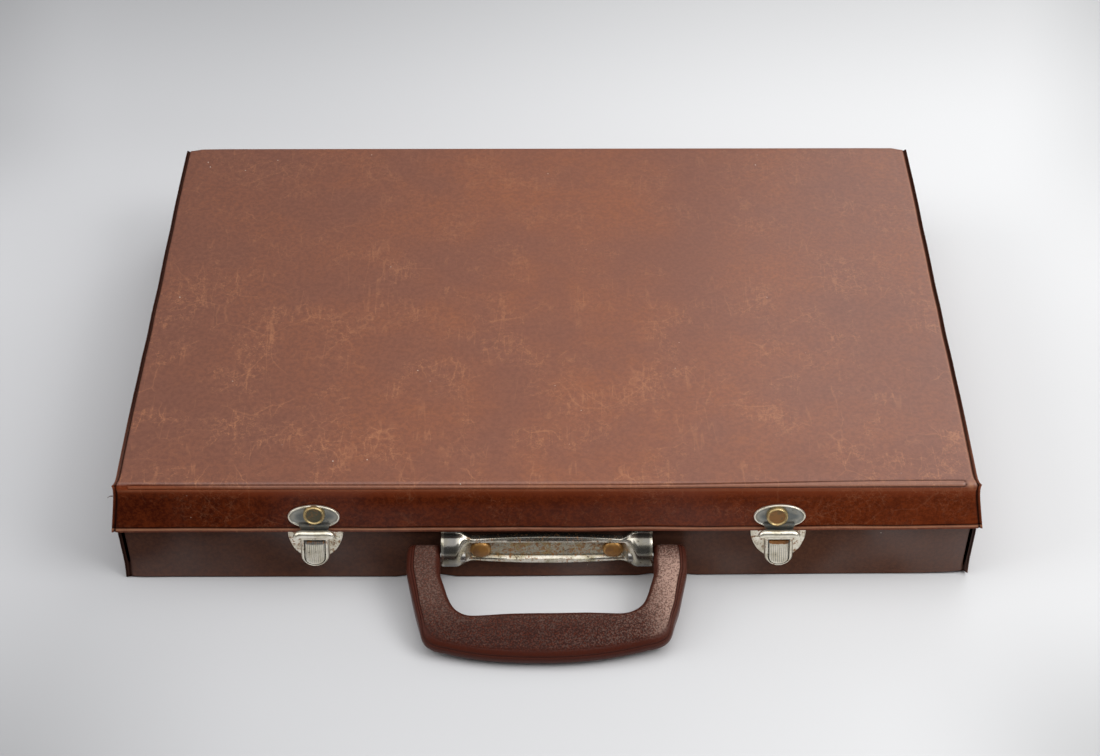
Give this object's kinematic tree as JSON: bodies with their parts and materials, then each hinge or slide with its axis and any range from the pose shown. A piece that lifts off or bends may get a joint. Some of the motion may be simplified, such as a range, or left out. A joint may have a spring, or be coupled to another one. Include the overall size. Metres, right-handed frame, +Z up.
{
  "type": "mahjong case",
  "caption": "Flat vinyl-covered carrying case for mahjong tiles, with a flanged lid on a vinyl hinge, tuck locks, a swinging handle and inner trays.",
  "frame": {"origin": "centre of the case's underside, on the surface it lies on", "axes": "+X to the right along the long front, -Y forward where the handle and the locks are, +Z up through the lid"},
  "size_m": [0.3954, 0.3224, 0.0576],
  "materials": {
    "base_vinyl": "dark brown embossed vinyl, semi-gloss",
    "lid_vinyl": "red-brown mottled vinyl, semi-gloss",
    "hardboard": "plain brown hardboard",
    "liner_board": "board covered in red paper",
    "lining": "thin red felt",
    "tray_plastic": "moulded green plastic",
    "handle_plastic": "moulded brown vinyl with a leather grain",
    "lock_steel": "nickel-plated steel with rust specks",
    "bracket_steel": "plated steel, rusty in its recess",
    "rivet_brass": "tarnished brass",
    "inner_steel": "plain steel"
  },
  "bodies": {
    "base": {"base_wrap": "base_vinyl", "base_side_left": "base_vinyl", "base_side_right": "base_vinyl", "base_bottom_board": "hardboard", "base_front_board": "hardboard", "base_back_board": "hardboard", "base_left_board": "hardboard", "base_right_board": "hardboard", "liner_front": "liner_board", "liner_back": "liner_board", "liner_left": "liner_board", "liner_right": "liner_board", "felt_lining": "lining", "hinge_strip": "base_vinyl", "tile_tray_1": "tray_plastic", "tile_tray_2": "tray_plastic", "tile_tray_3": "tray_plastic", "tile_tray_4": "tray_plastic", "stick_tray": "tray_plastic", "handle_bracket": "bracket_steel", "backing_plate": "inner_steel", "bracket_rivets": "rivet_brass", "lock_plate_left": "lock_steel", "lock_housing_left": "lock_steel", "lock_spring_left": "inner_steel", "lock_pins_left": "lock_steel", "lock_plate_right": "lock_steel", "lock_housing_right": "lock_steel", "lock_spring_right": "inner_steel", "lock_pins_right": "lock_steel"},
    "lid": {"lid_wrap": "lid_vinyl", "lid_side_left": "lid_vinyl", "lid_side_right": "lid_vinyl", "lid_top_board": "hardboard", "lid_front_board": "hardboard", "lid_back_board": "hardboard", "lid_left_board": "hardboard", "lid_right_board": "hardboard", "lid_lining": "lining", "hasp_plate_left": "lock_steel", "hasp_rivet_left": "rivet_brass", "hasp_washer_left": "inner_steel", "hasp_plate_right": "lock_steel", "hasp_rivet_right": "rivet_brass", "hasp_washer_right": "inner_steel"},
    "handle": {"handle_grip": "handle_plastic", "handle_pin_left": "inner_steel", "handle_pin_right": "inner_steel"},
    "thumb_slide_left": {"thumb_slide_left": "lock_steel"},
    "thumb_slide_right": {"thumb_slide_right": "lock_steel"}
  },
  "joints": [
    {"name": "lid_hinge", "type": "hinge", "parent": "base", "child": "lid", "pos_m": [0, 0.1316, 0.031], "axis": [-1, 0, 0], "range_deg": [0, 180], "deforming": ["hinge_strip"]},
    {"name": "handle_swing", "type": "hinge", "parent": "base", "child": "handle", "pos_m": [0, -0.1365, 0.0175], "axis": [-1, 0, 0], "range_deg": [-72, 86]},
    {"name": "latch_left", "type": "slide", "parent": "base", "child": "thumb_slide_left", "axis": [0, -0.6476, 0.7619], "range_m": [0, 0.00263], "stiffness_N_per_m": 400, "springref_m": -0.003, "deforming": ["lock_spring_left"]},
    {"name": "latch_right", "type": "slide", "parent": "base", "child": "thumb_slide_right", "axis": [0, -0.6476, 0.7619], "range_m": [0, 0.00263], "stiffness_N_per_m": 400, "springref_m": -0.003, "deforming": ["lock_spring_right"]}
  ]
}
